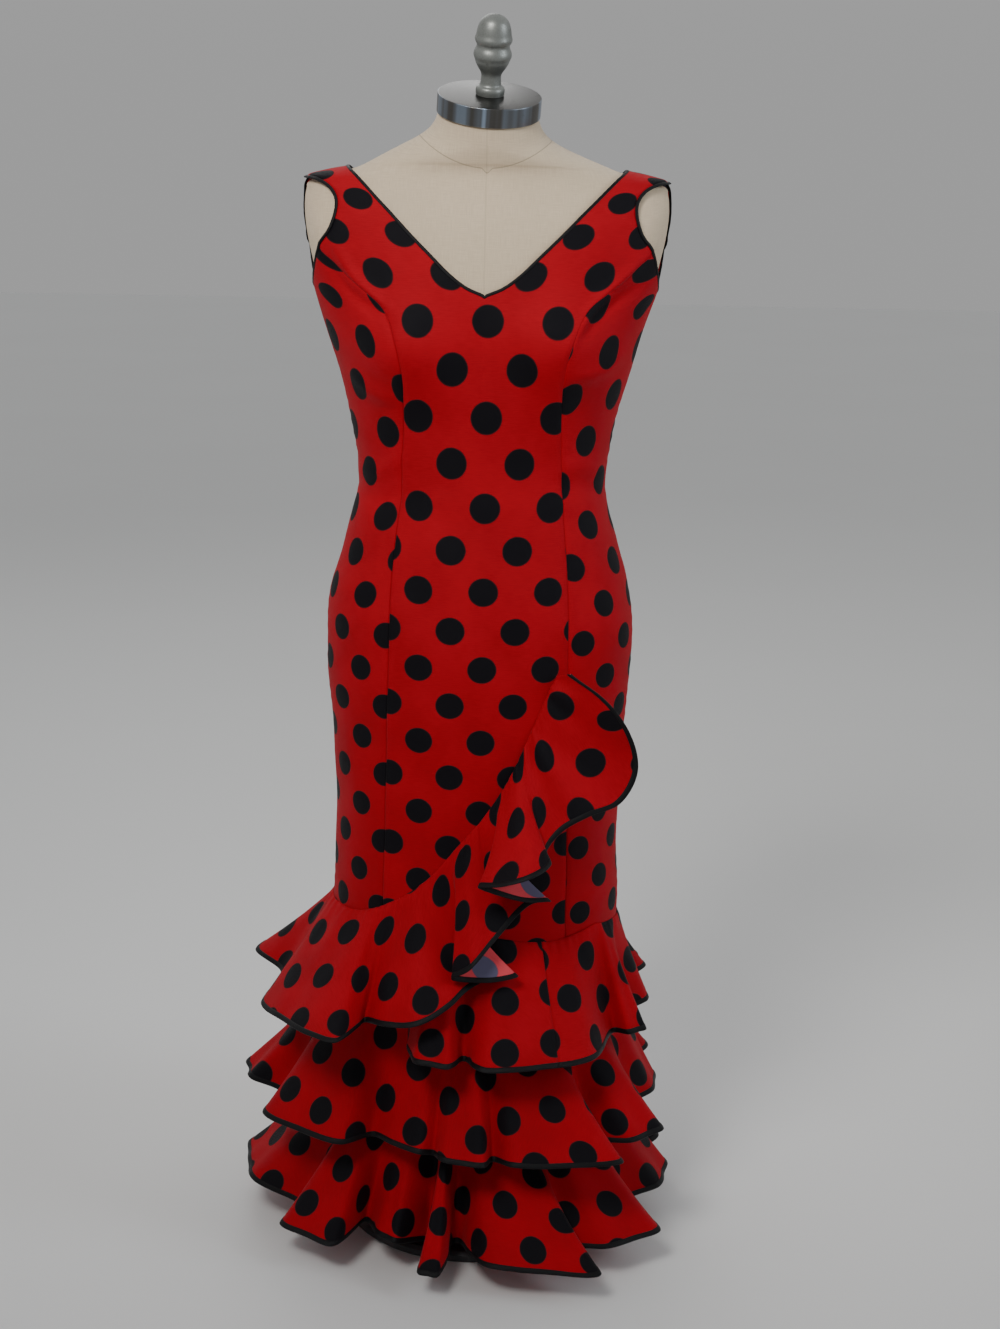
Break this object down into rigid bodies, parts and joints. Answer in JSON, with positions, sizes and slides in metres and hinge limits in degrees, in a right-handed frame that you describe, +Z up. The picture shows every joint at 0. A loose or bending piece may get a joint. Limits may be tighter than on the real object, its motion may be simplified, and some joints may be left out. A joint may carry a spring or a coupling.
{
  "type": "flamenco dress on dress form",
  "caption": "Long sleeveless flamenco dress with polka dots, a V neck, a cascade and ruffle tiers, on its limbless dress form and stand.",
  "frame": {"origin": "middle of the underside of the stand's round base, on the floor", "axes": "+Z up; the dress's front looks along -Y; +X is the right of someone facing it, where the cascade starts"},
  "size_m": [0.5121, 0.4928, 1.3802],
  "materials": {
    "cloth": "satin",
    "binding": "matte",
    "canvas": "matte",
    "steel": "brushed",
    "silver_paint": "satin",
    "iron": "satin"
  },
  "bodies": {
    "root": {"armhole_binding_left": "binding", "armhole_binding_right": "binding", "back_left": "cloth", "back_right": "cloth", "flounce_1_back": "cloth", "flounce_1_back_binding": "binding", "flounce_1_cascade": "cloth", "flounce_1_cascade_binding": "binding", "flounce_1_front": "cloth", "flounce_1_front_binding": "binding", "flounce_2_back": "cloth", "flounce_2_back_binding": "binding", "flounce_2_front": "cloth", "flounce_2_front_binding": "binding", "flounce_3_back": "cloth", "flounce_3_back_binding": "binding", "flounce_3_front": "cloth", "flounce_3_front_binding": "binding", "form_finial": "silver_paint", "form_neck_cap": "steel", "form_torso": "canvas", "front_middle": "cloth", "neck_binding": "binding", "side_back_left": "cloth", "side_back_right": "cloth", "side_front_left": "cloth", "side_front_right": "cloth", "stand_base": "iron", "stand_pole": "iron"}
  },
  "joints": []
}
